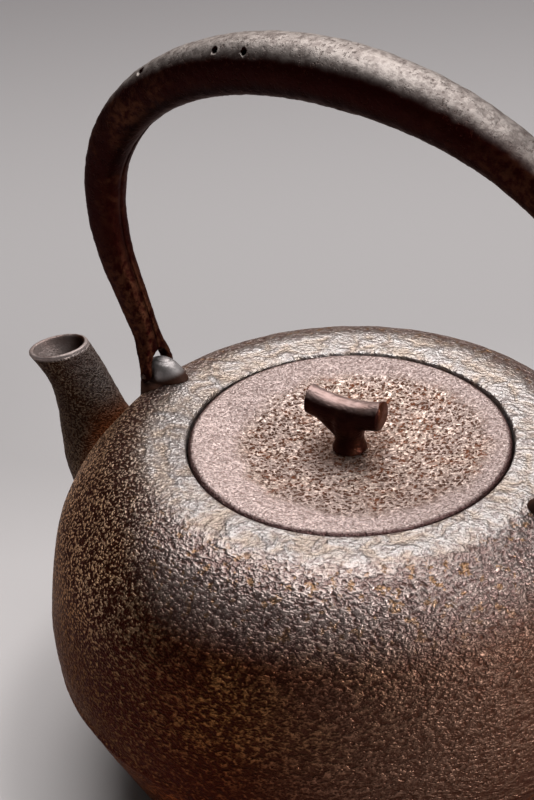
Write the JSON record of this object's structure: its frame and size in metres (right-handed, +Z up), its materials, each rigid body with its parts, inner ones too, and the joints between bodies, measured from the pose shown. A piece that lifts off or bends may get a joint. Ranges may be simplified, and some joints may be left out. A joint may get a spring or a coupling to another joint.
{
  "type": "cast-iron kettle",
  "caption": "Round cast-iron kettle with a short spout, a loose dished lid with a twig knob, and an overhead forked bail handle pinned to shoulder lugs.",
  "frame": {"origin": "centre of the flat base, on the gate scar at the middle of the underside", "axes": "+Z up, the spout points along -X, the handle stands in the XZ plane and its pins lie along Y"},
  "size_m": [0.2096, 0.18, 0.2335],
  "materials": {
    "body_iron": "pitted sand-cast skin, brown with ochre in the pits, worn grey on the shoulder",
    "spout_iron": "finely pitted red-brown cast skin",
    "lug_iron": "smooth satin grey-black",
    "handle_iron": "forged and oxidised, dark red-brown with a grey worn top",
    "pin_iron": "dark oxidised iron",
    "lid_iron": "smooth purple-brown rim, pitted centre with rust flecks",
    "knob_iron": "bark-like dark red-brown with a rubbed cut end"
  },
  "bodies": {
    "kettle": {"kettle_body": "body_iron", "spout": "spout_iron", "front_lug": "lug_iron", "rear_lug": "lug_iron", "handle": "handle_iron", "front_handle_pin": "pin_iron", "rear_handle_pin": "pin_iron"},
    "lid": {"lid": "lid_iron"},
    "knob": {"knob": "knob_iron", "knob_washer": "pin_iron"}
  },
  "joints": [
    {"name": "lid_lift", "type": "slide", "parent": "kettle", "child": "lid", "axis": [0, 0, 1], "range_m": [0, 0.06]},
    {"name": "knob_turn", "type": "hinge", "parent": "lid", "child": "knob", "pos_m": [0, 0, 0.115], "axis": [0, 0, 1], "continuous": true}
  ]
}
